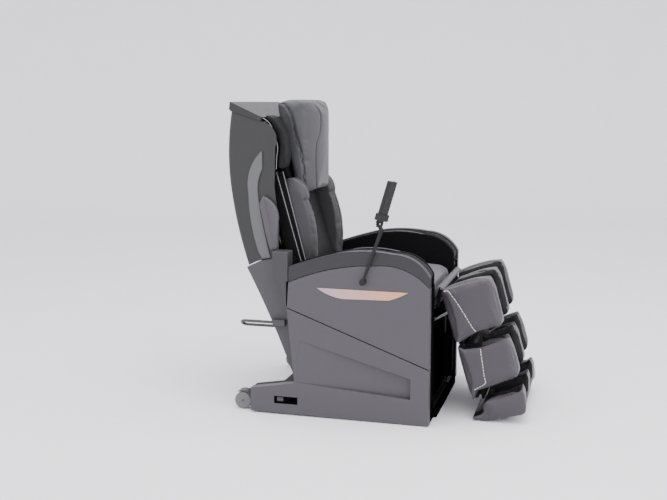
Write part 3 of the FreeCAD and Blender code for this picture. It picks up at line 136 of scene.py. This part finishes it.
def leather(name, colour, roughness=0.46, grain=620.0, creases=0.5, sheen=0.06, specular=0.35):
    """Soft synthetic leather: pebbled grain, finer pores and slow creases."""
    made, tree, shader, place = start_material(name, colour, roughness, 0.07, 7.0)
    shader.inputs["Specular IOR Level"].default_value = specular
    shader.inputs["Sheen Weight"].default_value = sheen
    shader.inputs["Sheen Roughness"].default_value = 0.5
    pebbles = fill(node(tree, "ShaderNodeTexVoronoi", feature="SMOOTH_F1"), Scale=grain, Smoothness=0.6)
    pores = fill(node(tree, "ShaderNodeTexNoise"), Scale=grain * 3, Detail=2.0)
    slow = fill(node(tree, "ShaderNodeTexNoise"), Scale=22.0, Detail=5.0, Roughness=0.55, Distortion=0.8)
    for item in (pebbles, pores, slow):
        tree.links.new(place.outputs["Object"], item.inputs["Vector"])
    folds = bump(tree, slow.outputs["Fac"], 0.004, creases * 0.35)
    grained = bump(tree, pebbles.outputs["Distance"], 0.0005, 0.45, folds)
    tree.links.new(bump(tree, pores.outputs["Fac"], 0.0001, 0.25, grained), shader.inputs["Normal"])
    return made


def metal(name, colour, roughness):
    made, tree, shader, place = start_material(name, colour, roughness, 0.05, 20.0)
    shader.inputs["Metallic"].default_value = 1.0
    stretch = node(tree, "ShaderNodeMapping")
    stretch.inputs["Scale"].default_value = (40.0, 900.0, 900.0)
    lines = fill(node(tree, "ShaderNodeTexNoise"), Scale=1.0, Detail=2.0)
    tree.links.new(place.outputs["Object"], stretch.inputs["Vector"])
    tree.links.new(stretch.outputs["Vector"], lines.inputs["Vector"])
    tree.links.new(bump(tree, lines.outputs["Fac"], 0.0001, 0.3), shader.inputs["Normal"])
    return made


def rubber(name, colour, roughness=0.7):
    made, tree, shader, place = start_material(name, colour, roughness, 0.06)
    fine = fill(node(tree, "ShaderNodeTexNoise"), Scale=2200.0, Detail=2.0)
    tree.links.new(place.outputs["Object"], fine.inputs["Vector"])
    tree.links.new(bump(tree, fine.outputs["Fac"], 0.0002, 0.4), shader.inputs["Normal"])
    return made


def painted(name, colour, roughness=0.35, coat=0.25, specular=0.4):
    """Powder coat over steel, with a faint orange-peel."""
    made, tree, shader, place = start_material(name, colour, roughness, 0.05)
    shader.inputs["Coat Weight"].default_value = coat
    shader.inputs["Specular IOR Level"].default_value = specular
    peel = fill(node(tree, "ShaderNodeTexNoise"), Scale=420.0, Detail=2.0)
    tree.links.new(place.outputs["Object"], peel.inputs["Vector"])
    tree.links.new(bump(tree, peel.outputs["Fac"], 0.0003, 0.3), shader.inputs["Normal"])
    return made


def satin_inset():
    """Pearl lacquer that drifts from lilac pink at the rear to peach at the front, finely brushed."""
    made, tree, shader, place = start_material("satin_inset", linear(214, 186, 172), 0.3, 0.03)
    split = node(tree, "ShaderNodeSeparateXYZ")
    along = node(tree, "ShaderNodeMapRange")
    low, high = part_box("side_insets")
    along.inputs["From Min"].default_value = low[0]
    along.inputs["From Max"].default_value = high[0]
    ramp = node(tree, "ShaderNodeValToRGB")
    ramp.color_ramp.elements[0].color = linear(160, 138, 146)
    ramp.color_ramp.elements[1].color = linear(192, 136, 102)
    tree.links.new(place.outputs["Object"], split.inputs["Vector"])
    tree.links.new(split.outputs["X"], along.inputs["Value"])
    tree.links.new(along.outputs["Result"], ramp.inputs["Fac"])
    tree.links.new(ramp.outputs["Color"], shader.inputs["Base Color"])
    shader.inputs["Coat Weight"].default_value = 0.3
    stretch = node(tree, "ShaderNodeMapping")
    stretch.inputs["Scale"].default_value = (15.0, 900.0, 900.0)
    lines = fill(node(tree, "ShaderNodeTexNoise"), Scale=1.0, Detail=1.0)
    tree.links.new(place.outputs["Object"], stretch.inputs["Vector"])
    tree.links.new(stretch.outputs["Vector"], lines.inputs["Vector"])
    tree.links.new(bump(tree, lines.outputs["Fac"], 0.0001, 0.2), shader.inputs["Normal"])
    return made


GREY = moulded("grey_moulding", linear(63, 61, 65), 0.5)
POST = moulded("post_moulding", linear(46, 45, 48), 0.5)
BAND = moulded("band_moulding", linear(32, 31, 34), 0.5)
SHELL = moulded("shell_moulding", linear(34, 34, 35), 0.45)
REAR = moulded("rear_moulding", linear(60, 60, 62), 0.5)
CAP = moulded("cap_moulding", linear(38, 38, 40), 0.42, 1.0, 0.3)
FIN = moulded("fin_moulding", linear(80, 80, 82), 0.4)
BLACK = moulded("black_moulding", linear(10, 9, 11), 0.9, 1.0, 0.0)
STRIP = moulded("strip_moulding", linear(22, 22, 24), 0.42, 1.0, 0.25)
SEAT = leather("seat_leather", linear(80, 80, 84))
PAD = leather("pad_leather", linear(56, 53, 58))
HEAD = leather("head_leather", linear(58, 58, 61))
BOLSTER = leather("bolster_leather", linear(48, 47, 50))
DARK = leather("dark_leather", linear(8, 7, 9), 0.55, sheen=0.0, specular=0.08)
# Near-black painted shade for the leg block faces that look into their channels or at a neighbouring block.
CHANNEL_SHADE = leather("painted_channel_shade", linear(20, 19, 22), sheen=0.0, specular=0.12)
FLAP = leather("flap_leather", linear(10, 10, 11), 0.6, sheen=0.0, specular=0.1)
BACK = leather("back_leather", linear(16, 16, 18), 0.55, sheen=0.0, specular=0.15)
PIPING = leather("piping_leather", linear(118, 117, 121), 0.4, 900.0, 0.2)
ARM_PIPING = leather("arm_piping", linear(74, 73, 77), 0.4, 900.0, 0.2)
DARK_PIPING = leather("dark_piping", linear(24, 24, 26), 0.4, 900.0, 0.2)
THREAD = rubber("thread", linear(222, 216, 216), 0.75)
TYRE = rubber("tyre_rubber", linear(92, 92, 94))
KEYS = rubber("key_rubber", linear(60, 60, 64))
STEEL = metal("ground_steel", linear(170, 170, 172), 0.28)
COAT = painted("black_coat", linear(8, 8, 9), 0.6, 0.0, 0.15)
GRIP = painted("grip_coat", linear(46, 46, 48), 0.22)
NYLON = moulded("nylon", linear(190, 186, 176), 0.35)
INSET = satin_inset()
GLASS = moulded("display_window", linear(24, 28, 34), 0.12, 0.2, 0.6)

CAD_LOOKS = {
    GREY: ["side_covers_lower", "side_covers_upper", "wheel_brackets"],
    POST: ["shoulder_posts"],
    BAND: ["arm_bands"],
    SHELL: ["back_shell"],
    REAR: ["rear_cover_lower"],
    CAP: ["back_cap"],
    FIN: ["back_fins"],
    INSET: ["side_insets"],
    BLACK: ["front_trim", "front_covers", "power_panel", "control_box", "air_pump", "massage_carriage"],
    STRIP: ["remote_body", "remote_holder", "remote_pole", "clamp_knob", "stand_socket"],
    COAT: ["base_plate", "base_frame", "back_frame", "leg_frame", "foot_slider", "seat_board",
           "recline_actuator", "lift_actuator", "lift_motor", "roller_arms"],
    STEEL: ["recline_pins", "leg_hinge_pins", "guide_rods", "lift_screw", "kneading_shaft", "recline_rod",
            "lift_rod"],
    GRIP: ["lifting_grips"],
    TYRE: ["transport_wheel_right", "transport_wheel_left"],
    NYLON: ["upper_rollers", "lower_rollers"],
    KEYS: ["power_button", "recline_rocker", "leg_rocker", "power_switch"],
    GLASS: ["remote_screen"],
}


def paint_cad():
    for finish, names in CAD_LOOKS.items():
        for name in names:
            item = nodes[name]
            item.data.materials.clear()
            item.data.materials.append(finish)


# ---------------------------------------------------------------- mesh helpers


def new_object(name, mesh, finish):
    item = bpy.data.objects.new(name, mesh)
    scene.collection.objects.link(item)
    mesh.materials.clear()
    mesh.materials.append(finish)
    return item


def settle(item):
    """Apply an object's modifiers to its mesh."""
    graph = bpy.context.evaluated_depsgraph_get()
    mesh = bpy.data.meshes.new_from_object(item.evaluated_get(graph))
    item.modifiers.clear()
    item.data = mesh
    return item


def remesh(item, voxel):
    change = item.modifiers.new("remesh", "REMESH")
    change.mode = "VOXEL"
    change.voxel_size = voxel
    return settle(item)


def relax(item, rounds, factor=0.5):
    change = item.modifiers.new("relax", "SMOOTH")
    change.iterations = rounds
    change.factor = factor
    return settle(item)


def points_of(item):
    flat = np.empty(len(item.data.vertices) * 3)
    item.data.vertices.foreach_get("co", flat)
    return flat.reshape(-1, 3)


def set_points(item, points):
    item.data.vertices.foreach_set("co", points.reshape(-1))
    item.data.update()


def normals_of(item):
    flat = np.empty(len(item.data.vertices) * 3)
    item.data.vertices.foreach_get("normal", flat)
    return flat.reshape(-1, 3)


def swell(item, cap, pressure=4.0, frames=20):
    """Blow the piece up with cloth pressure, let no point travel further than cap, and keep the result."""
    before = points_of(item)
    cloth = item.modifiers.new("swell", "CLOTH")
    settings = cloth.settings
    settings.quality = 3
    settings.mass = 0.3
    settings.tension_stiffness = 12
    settings.compression_stiffness = 12
    settings.shear_stiffness = 6
    settings.bending_stiffness = 0.6
    settings.use_pressure = True
    settings.uniform_pressure_force = pressure
    settings.effector_weights.gravity = 0
    cloth.collision_settings.use_collision = False
    cloth.point_cache.frame_start = 1
    cloth.point_cache.frame_end = frames
    for step in range(1, frames + 1):
        scene.frame_set(step)
    settle(item)
    scene.frame_set(1)
    travel = points_of(item) - before
    length = np.linalg.norm(travel, axis=1, keepdims=True)
    scale = np.minimum(1, cap / np.maximum(length, 1e-9))
    set_points(item, before + travel * scale)
    return item


def upholster(name, source, finish, voxel=0.006, rounds=12, shrink=0.003, cap=0.008, pressure=4.0):
    """A soft piece in the space of its CAD solid: rounded, blown up and smoothed."""
    item = new_object(name, nodes[source].data.copy(), finish)
    remesh(item, voxel)
    relax(item, rounds)
    set_points(item, points_of(item) - normals_of(item) * shrink)
    if cap:
        swell(item, cap, pressure)
        relax(item, 2)
    finer(item)
    item.data.shade_smooth()
    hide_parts(source)
    return item


def finer(item):
    """One round of subdivision, then smooth shading."""
    change = item.modifiers.new("finer", "SUBSURF")
    change.levels = 1
    settle(item)
    item.data.shade_smooth()
    return item


def slab(name, outline, near, far, finish):
    """A flat piece with an outline in the chair's side view, between two distances off its middle plane."""
    shape = bmesh.new()
    ring = [shape.verts.new((x, near, z)) for x, z in outline]
    face = shape.faces.new(ring)
    grown = bmesh.ops.extrude_face_region(shape, geom=[face])["geom"]
    for vertex in grown:
        if isinstance(vertex, bmesh.types.BMVert):
            vertex.co.y = far
    bmesh.ops.recalc_face_normals(shape, faces=shape.faces)
    mesh = bpy.data.meshes.new(name)
    shape.to_mesh(mesh)
    shape.free()
    return new_object(name, mesh, finish)


def resample(points, gap):
    """Points evenly spaced along a smooth line through the given ones."""
    line = [Vector(p) for p in points]
    smooth = []
    for i in range(len(line) - 1):
        a = line[max(i - 1, 0)]
        b, c = line[i], line[i + 1]
        d = line[min(i + 2, len(line) - 1)]
        steps = max(2, int((c - b).length / gap))
        for k in range(steps):
            t = k / steps
            smooth.append(0.5 * ((2 * b) + (c - a) * t + (2 * a - 5 * b + 4 * c - d) * t * t
                                 + (3 * b - a - 3 * c + d) * t ** 3))
    smooth.append(line[-1])
    return smooth


def laid_on(item, points, gap=0.008, lift=0.0):
    """A line drawn on a piece's surface."""
    tree = BVHTree.FromObject(item, bpy.context.evaluated_depsgraph_get())
    laid = []
    for point in resample(points, gap):
        spot, normal, _, _ = tree.find_nearest(point)
        laid.append((spot + normal * lift, normal))
    return laid


def press_seam(item, points, depth=0.004, width=0.006):
    """Sink a sewn line into a piece."""
    line = np.array([spot for spot, _ in laid_on(item, points, 0.004)])
    places = points_of(item)
    low, high = line.min(axis=0) - width * 3, line.max(axis=0) + width * 3
    near = np.where(np.all((places > low) & (places < high), axis=1))[0]
    if len(near) == 0:
        return item
    gaps = np.linalg.norm(places[near][:, None, :] - line[None, :, :], axis=2).min(axis=1)
    places[near] -= normals_of(item)[near] * (depth * np.exp(-((gaps / width) ** 2)))[:, None]
    set_points(item, places)
    return item


def tube(name, points, radius, finish):
    """A round cord of piping along a line."""
    curve = bpy.data.curves.new(name, "CURVE")
    curve.dimensions = "3D"
    curve.bevel_depth = radius
    curve.bevel_resolution = 2
    curve.use_fill_caps = True
    spline = curve.splines.new("POLY")
    spline.points.add(len(points) - 1)
    for point, spot in zip(spline.points, points):
        point.co = (*spot, 1)
    holder = bpy.data.objects.new(name, curve)
    scene.collection.objects.link(holder)
    graph = bpy.context.evaluated_depsgraph_get()
    mesh = bpy.data.meshes.new_from_object(holder.evaluated_get(graph))
    bpy.data.objects.remove(holder)
    mesh.shade_smooth()
    return new_object(name, mesh, finish)


def stitched(name, item, points, body, length=0.009, gap=0.002, radius=0.0015):
    """A row of thread stitches along a line on a piece."""
    laid = laid_on(item, points, 0.001, radius * 0.5)
    mesh = bpy.data.meshes.new(name)
    shape = bmesh.new()
    steps = max(1, int(length / 0.001))
    stride = max(steps + 1, int((length + gap) / 0.001))
    for first in range(0, len(laid) - steps, stride):
        start, normal = laid[first]
        end, _ = laid[first + steps]
        along = end - start
        if along.length < 1e-6:
            continue
        turn = Vector((0, 0, 1)).rotation_difference(along).to_matrix().to_4x4()
        size = Matrix.Diagonal((radius, radius, along.length * 0.5, 1))
        place = Matrix.Translation((start + end) * 0.5) @ turn @ size
        bmesh.ops.create_uvsphere(shape, u_segments=6, v_segments=5, radius=1.0, matrix=place)
    shape.to_mesh(mesh)
    shape.free()
    mesh.shade_smooth()
    row = new_object(name, mesh, THREAD)
    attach(row, body)
    return row


def both_sides(points):
    """The same line on the right-hand and on the left-hand side."""
    return (("right", points), ("left", [(x, -y, z) for x, y, z in points]))


def side_line(y, *pairs):
    """A line in one plane of the chair's side, from X and Z pairs in metres."""
    return [(x, y, z) for x, z in pairs]


# ---------------------------------------------------------------- soft pieces


def seat():
    item = upholster("seat_cushion_cover", "seat_cushion", SEAT, 0.007, 14, 0.004, 0.014)
    low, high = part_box("seat_cushion")
    inset = 0.06
    top = high[2]
    for y in (low[1] + inset, high[1] - inset):
        line = [
            (low[0] + 0.01, y, top),
            (0.1, y, top),
            (high[0] - 0.03, y, top),
            (high[0] + 0.01, y, top - 0.06),
        ]
        press_seam(item, line, 0.006, 0.007)
    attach(item, "base")
    rear = upholster("seat_rear_cover", "seat_rear_pad", SEAT, 0.007, 8, 0.003, 0.006)
    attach(rear, "base")


def back():
    item = upholster("back_cushion_cover", "back_cushion", BACK, 0.006, 8, 0.006, 0.003)
    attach(item, "back")
    wings = upholster("side_bolster_covers", "side_bolsters", BOLSTER, 0.005, 12, 0.002, 0.010)
    edge_seam = side_line(-0.190, (-0.196, 0.900), (-0.150, 0.835), (-0.135, 0.740), (-0.128, 0.640))
    for side, line in both_sides(edge_seam):
        press_seam(wings, line, 0.005, 0.006)
        laid = [spot for spot, _ in laid_on(wings, line, 0.008, 0.0002)]
        cord = tube(f"bolster_cord_{side}", laid, 0.0017, DARK_PIPING)
        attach(cord, "back")
    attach(wings, "back")
    flaps = upholster("shoulder_flap_covers", "shoulder_flaps", FLAP, 0.0025, 3, 0.0, 0.0)
    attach(flaps, "back")
    low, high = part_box("shoulder_flaps")
    fronts = (
        (low[1] + 0.0045, (-0.284, 0.952), (-0.181, 0.592)),
        (low[1] + 0.0135, (-0.260, 0.955), (-0.166, 0.597)),
    )
    for count, (y, top, bottom) in enumerate(fronts):
        for side, line in both_sides([(top[0], y, top[1]), (bottom[0], y, bottom[1])]):
            trim = tube(f"flap_piping_{count}_{side}", resample(line, 0.02), 0.0017, PIPING)
            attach(trim, "back")


def shoulder_pads():
    """The upholstered edge of the back between shell and pillow, with a light cord along its rear rim."""
    outer = [(-0.322, 1.166), (-0.298, 1.150), (-0.276, 1.112),
             (-0.262, 1.056), (-0.266, 1.010), (-0.268, 0.966)]
    inner = [(-0.246, 0.966), (-0.238, 1.010), (-0.236, 1.060),
             (-0.250, 1.124), (-0.280, 1.166), (-0.312, 1.180)]
    for side, sign in (("right", -1), ("left", 1)):
        item = slab(f"shoulder_pad_{side}", outer + inner, sign * 0.200, sign * 0.288, BACK)
        remesh(item, 0.005)
        relax(item, 10)
        swell(item, 0.005)
        relax(item, 2)
        finer(item)
        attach(item, "back")
        rim = [(x - 0.002, sign * 0.291, z) for x, z in outer]
        cord = tube(f"shoulder_cord_{side}", resample(rim, 0.01), 0.0015, PIPING)
        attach(cord, "back")


def head():
    item = upholster("head_pillow_cover", "head_pillow", HEAD, 0.006, 12, 0.003, 0.009)
    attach(item, "pillow")
    side_seam = [
        (-0.287, -0.165, 1.233),
        (-0.264, -0.167, 1.205),
        (-0.247, -0.167, 1.170),
        (-0.236, -0.167, 1.111),
        (-0.223, -0.167, 1.065),
        (-0.205, -0.163, 1.017),
        (-0.197, -0.160, 0.982),
        (-0.194, -0.158, 0.943),
        (-0.190, -0.155, 0.889),
        (-0.188, -0.152, 0.864),
    ]
    front_seam = [
        (-0.178, -0.092, 1.226),
        (-0.166, -0.070, 1.200),
        (-0.158, -0.054, 1.160),
        (-0.160, -0.062, 1.106),
        (-0.168, -0.084, 1.063),
        (-0.170, -0.091, 1.010),
        (-0.169, -0.088, 0.917),
        (-0.168, -0.080, 0.872),
    ]
    for name, path in (("side", side_seam), ("front", front_seam)):
        for side, line in both_sides(path):
            press_seam(item, line, 0.004, 0.006)
            laid = [spot for spot, _ in laid_on(item, line, 0.008, 0.0004)]
            cord = tube(f"pillow_{name}_cord_{side}", laid, 0.0019, DARK_PIPING)
            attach(cord, "pillow")


def knee_flap():
    """The leather flap that runs from under the seat cushion's nose over the hinge to the leg rest."""
    half = 0.246
    profile = [(0.352, 0.470), (0.356, 0.494), (0.360, 0.512), (0.367, 0.521), (0.377, 0.522), (0.386, 0.516),
               (0.392, 0.508)]
    back = [(x - 0.003, z - 0.004) for x, z in reversed(profile)]
    item = slab("knee_flap", profile + back, -half, half, PAD)
    remesh(item, 0.003)
    relax(item, 3)
    finer(item)
    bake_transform(item)


def shade_inside_painted(item, ends):
    """The faces of a calf or foot block that look into its leg channels, or at its neighbours, get a
    near-black painted shade.
    """
    # Painted shade: the faces that look into the leg channels or at a neighbouring block get this near-black
    # second slot.
    item.data.materials.append(CHANNEL_SHADE)
    channels_half = 0.186
    middle_half = 0.048
    for face in item.data.polygons:
        place, normal = face.center, face.normal
        wall = abs(place.y) < channels_half and abs(normal.y) > 0.35
        floor = middle_half < abs(place.y) < channels_half and normal.x > 0.5
        end = any(normal.dot(Vector(way)) > 0.8 for way in ends)
        if wall or floor or end:
            face.material_index = 1


def legs():
    upper = upholster("upper_calf_cover", "upper_calf_pad", PAD, 0.005, 4, 0.001, 0.005)
    lower = upholster("lower_calf_cover", "lower_calf_pad", PAD, 0.005, 4, 0.001, 0.005)
    foot = upholster("foot_cover", "foot_pad", PAD, 0.005, 4, 0.001, 0.005)
    up, down, back_up = (0.2, 0.0, 0.98), (-0.2, 0.0, -0.98), (-0.7, 0.0, 0.7)
    for item, body, ends in ((upper, "leg_rest", (down,)), (lower, "leg_rest", (up, down)),
                             (foot, "foot_rest", (up, back_up))):
        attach(item, body)
        # Painted shade on the faces that look into the channels or at the next block.
        shade_inside_painted(item, ends)
    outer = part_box("upper_calf_pad")[0][1]
    upper_line = side_line(outer, (0.392, 0.510), (0.404, 0.512), (0.414, 0.506), (0.448, 0.462),
                           (0.484, 0.407), (0.520, 0.349))
    lower_line = side_line(outer, (0.538, 0.290), (0.548, 0.230), (0.555, 0.184), (0.561, 0.162),
                           (0.556, 0.150), (0.537, 0.137), (0.518, 0.124))
    for name, cover, path in (("upper", upper, upper_line), ("lower", lower, lower_line)):
        for side, line in both_sides(path):
            press_seam(cover, line, 0.002, 0.004)
            row = stitched(f"{name}_calf_stitching_{side}", cover, line, "leg_rest")


def arms():
    item = upholster("arm_pad_covers", "arm_pads", DARK, 0.005, 8, 0.002, 0.005)
    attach(item, "base")
    panels = upholster("arm_panel_covers", "arm_panels", DARK, 0.004, 3, 0.0, 0.0)
    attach(panels, "base")
    crown = [(-0.150, 0.562), (-0.060, 0.614), (0.028, 0.653), (0.078, 0.663), (0.143, 0.665), (0.185, 0.661),
             (0.227, 0.654), (0.269, 0.643), (0.304, 0.622), (0.336, 0.588), (0.354, 0.552), (0.360, 0.527)]
    for side, line in both_sides([(x - 0.001, -0.262, z) for x, z in crown]):
        cord = tube(f"arm_cord_{side}", resample(line, 0.012), 0.0022, ARM_PIPING)
        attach(cord, "base")


# ---------------------------------------------------------------- hard pieces that replace CAD nodes


def ridged(item, depth, waves):
    """Upright ridges worked into the outer face of a moulding on each side of the chair."""
    remesh(item, 0.003)
    places = points_of(item)
    outward = normals_of(item)
    outer = np.abs(places[:, 1]).max()
    skin = 0.012
    low, high = places[:, 0].min(), places[:, 0].max()
    lean = math.tan(math.radians(12))
    along = places[:, 0] + (places[:, 2] - places[:, 2].mean()) * lean
    share = np.clip((along - low) / (high - low), 0, 1)
    hollow = depth * (1 - np.abs(np.sin(share * math.pi * waves))) ** 1.5
    facing = np.clip(np.abs(outward[:, 1]), 0, 1) * (np.abs(places[:, 1]) > outer - skin)
    places[:, 1] -= np.sign(places[:, 1]) * hollow * facing
    set_points(item, places)
    relax(item, 3)
    item.data.shade_smooth()
    return item


def rounded_copy(name, source, finish, body, width):
    """A moulding with its edges broken by a bevel."""
    item = new_object(name, nodes[source].data.copy(), finish)
    weld = item.modifiers.new("weld", "WELD")
    weld.merge_threshold = 0.00005
    bevel = item.modifiers.new("bevel", "BEVEL")
    bevel.width = width
    bevel.segments = 3
    bevel.limit_method = "ANGLE"
    bevel.angle_limit = math.radians(35)
    bevel.harden_normals = False
    settle(item)
    item.data.shade_smooth()
    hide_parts(source)
    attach(item, body)
    return item


# ---------------------------------------------------------------- studio


CAMERA_PLACE = (0.9697, -3.9574, 1.2243)
CAMERA_YAW = math.radians(15.35)
CAMERA_PITCH = math.radians(7.33)
CAMERA_LENS = 53.09
CAMERA_SENSOR = 36.0
CAMERA_SHIFT = -0.0306


def studio():
    """A pale floor that curves up into a wall across the camera's view, an even sky and three soft lamps."""
    side = 30.0
    wall = 6.0
    bend = 2.5
    top = 12.0
    profile = [(-side, 0.0), (wall, 0.0)]
    profile += [(wall + bend * math.sin(a), bend - bend * math.cos(a)) for a in
                [math.radians(10 * k) for k in range(1, 10)]]
    profile.append((wall + bend, top))
    mesh = bpy.data.meshes.new("studio_sweep")
    points = []
    for depth, height in profile:
        for across in (-side, side):
            x = across * math.cos(CAMERA_YAW) - depth * math.sin(CAMERA_YAW)
            y = across * math.sin(CAMERA_YAW) + depth * math.cos(CAMERA_YAW)
            points.append((x, y, height))
    faces = [(2 * i, 2 * i + 1, 2 * i + 3, 2 * i + 2) for i in range(len(profile) - 1)]
    mesh.from_pydata(points, [], faces)
    mesh.shade_smooth()
    sweep = new_object("studio_sweep", mesh, moulded("studio_paper", linear(226, 225, 230), 0.9, 0.3, 0.1))
    world = bpy.data.worlds.new("studio")
    world.use_nodes = True
    world.node_tree.nodes["Background"].inputs["Color"].default_value = (0.985, 0.985, 1.0, 1)
    world.node_tree.nodes["Background"].inputs["Strength"].default_value = 2.2
    scene.world = world
    lamp("overhead", (0.3, -0.6, 3.6), (0.0, 0.0, 0.4), 3.0, 120)
    lamp("front_fill", (3.2, -2.4, 2.2), (0.1, 0.0, 0.5), 2.5, 55)
    lamp("left_fill", (-3.0, -2.8, 2.0), (0.0, 0.0, 0.6), 2.5, 25)


def lamp(name, place, target, size, power):
    """A square soft light that faces its target."""
    data = bpy.data.lights.new(name, "AREA")
    data.energy = power
    data.size = size
    item = bpy.data.objects.new(name, data)
    item.location = place
    item.rotation_euler = (Vector(target) - Vector(place)).to_track_quat("-Z", "Y").to_euler()
    scene.collection.objects.link(item)


def camera():
    data = bpy.data.cameras.new("camera")
    data.lens = CAMERA_LENS
    data.sensor_width = CAMERA_SENSOR
    data.shift_y = CAMERA_SHIFT
    item = bpy.data.objects.new("camera", data)
    item.location = CAMERA_PLACE
    item.rotation_euler = (math.pi / 2 - CAMERA_PITCH, 0.0, CAMERA_YAW)
    scene.collection.objects.link(item)
    scene.camera = item


paint_cad()
seat()
back()
shoulder_pads()
head()
knee_flap()
legs()
arms()
ridged(rounded_copy("back_fairing_mouldings", "back_fairings", GREY, "back", 0.004), 0.006, 2)
studio()
camera()
